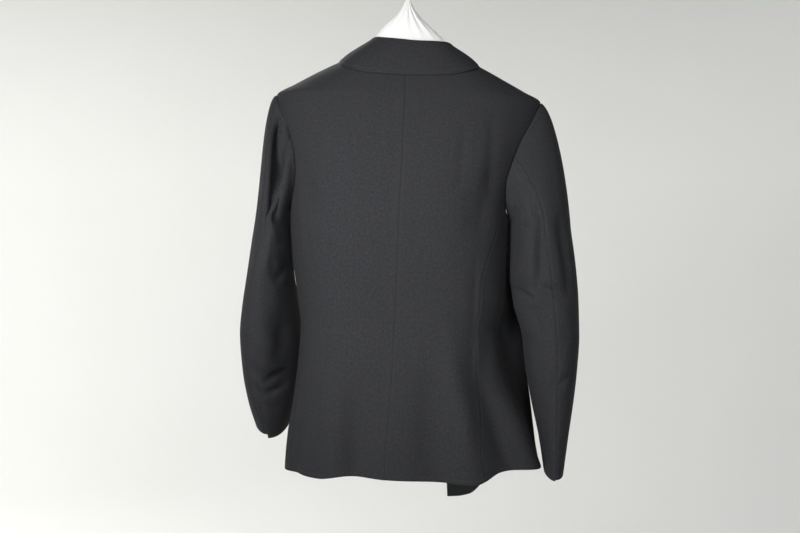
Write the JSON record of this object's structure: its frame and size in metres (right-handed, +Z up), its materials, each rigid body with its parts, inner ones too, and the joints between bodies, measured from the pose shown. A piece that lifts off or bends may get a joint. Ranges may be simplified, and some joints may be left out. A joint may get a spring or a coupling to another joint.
{
  "type": "uniform jacket on a padded hanger",
  "caption": "Dark tailored wool uniform jacket with turn-down collar, set-in sleeves and shaped waist, hanging closed and empty on a cloth-covered padded hanger with a wire hook.",
  "frame": {"origin": "inner top of the hanger's hook, where a rail or peg holds it", "axes": "+Z up; the front faces -Y and the back +Y; +X towards the wearer's left"},
  "size_m": [0.5421, 0.2592, 0.8775],
  "materials": {
    "uniform_wool": "matte",
    "button_dark": "satin",
    "hanger_cover": "matte",
    "hook_steel": "satin"
  },
  "bodies": {
    "root": {"back_left": "uniform_wool", "back_right": "uniform_wool", "side_left": "uniform_wool", "side_right": "uniform_wool", "front_left": "uniform_wool", "front_right": "uniform_wool", "lapel_left": "uniform_wool", "lapel_right": "uniform_wool", "collar": "uniform_wool", "upper_sleeve_left": "uniform_wool", "upper_sleeve_right": "uniform_wool", "under_sleeve_left": "uniform_wool", "under_sleeve_right": "uniform_wool", "front_button_1": "button_dark", "front_button_2": "button_dark", "front_button_3": "button_dark", "hanger_arms": "hanger_cover", "hanger_neck": "hanger_cover", "hanger_hook": "hook_steel"}
  },
  "joints": []
}
